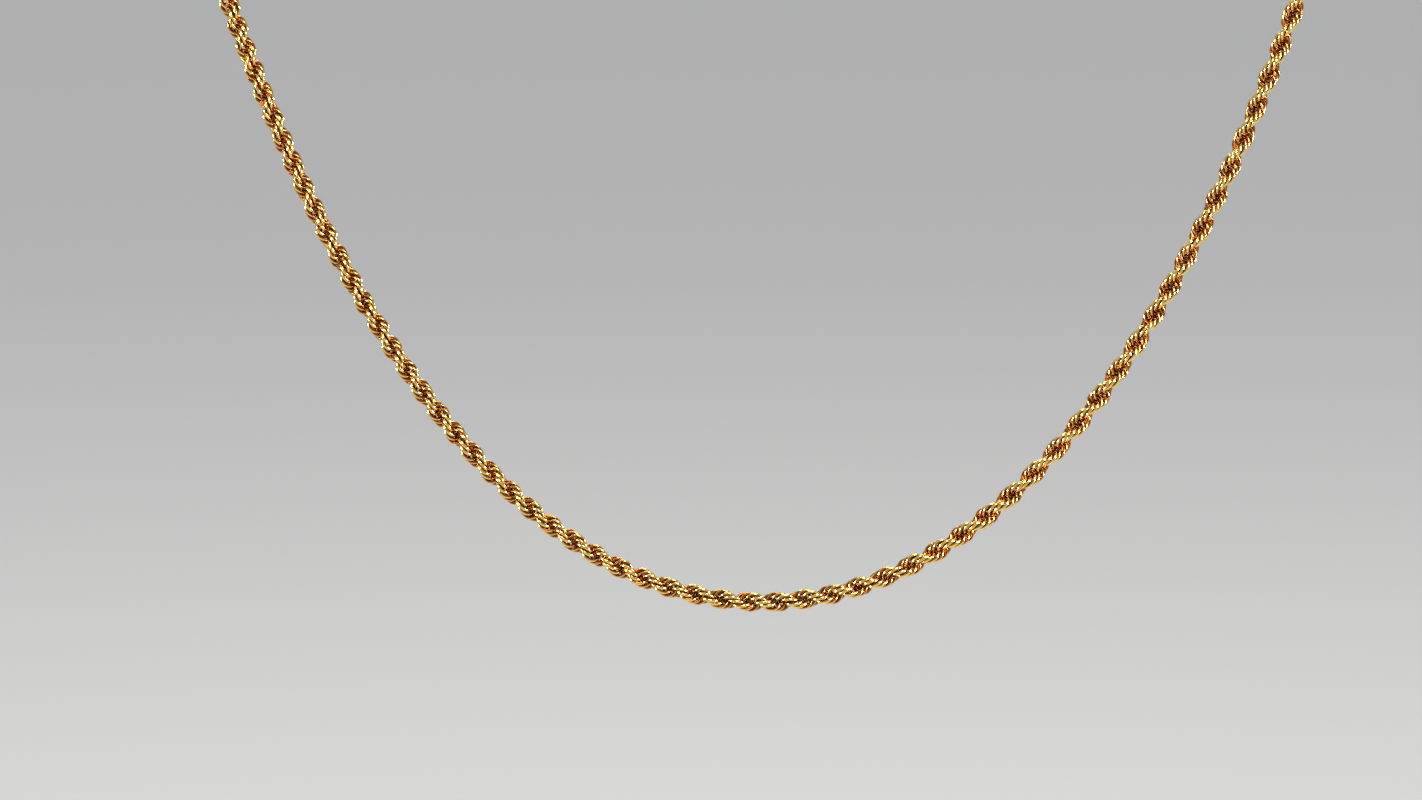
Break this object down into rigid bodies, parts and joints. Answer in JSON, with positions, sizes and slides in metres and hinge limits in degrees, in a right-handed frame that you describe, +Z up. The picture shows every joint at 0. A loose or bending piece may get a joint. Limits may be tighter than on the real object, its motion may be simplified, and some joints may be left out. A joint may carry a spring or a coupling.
{
  "type": "rope chain necklace",
  "caption": "Twisted rope chain necklace in a closed loop, hanging in a deep front curve, with a plain barrel clasp at the nape.",
  "frame": {"origin": "the point on the inner side of the clasp, midway along it, where the necklace lies on the nape", "axes": "+Z up as worn or hung, -Y out of the front of the loop, X along the clasp and across the loop"},
  "size_m": [0.1412, 0.1165, 0.1169],
  "materials": {
    "chain_gold": "polished yellow gold, facets cut bright on the outer wires",
    "clasp_gold": "polished yellow gold"
  },
  "bodies": {
    "root": {"rope_chain": "chain_gold", "clasp": "clasp_gold"}
  },
  "joints": []
}
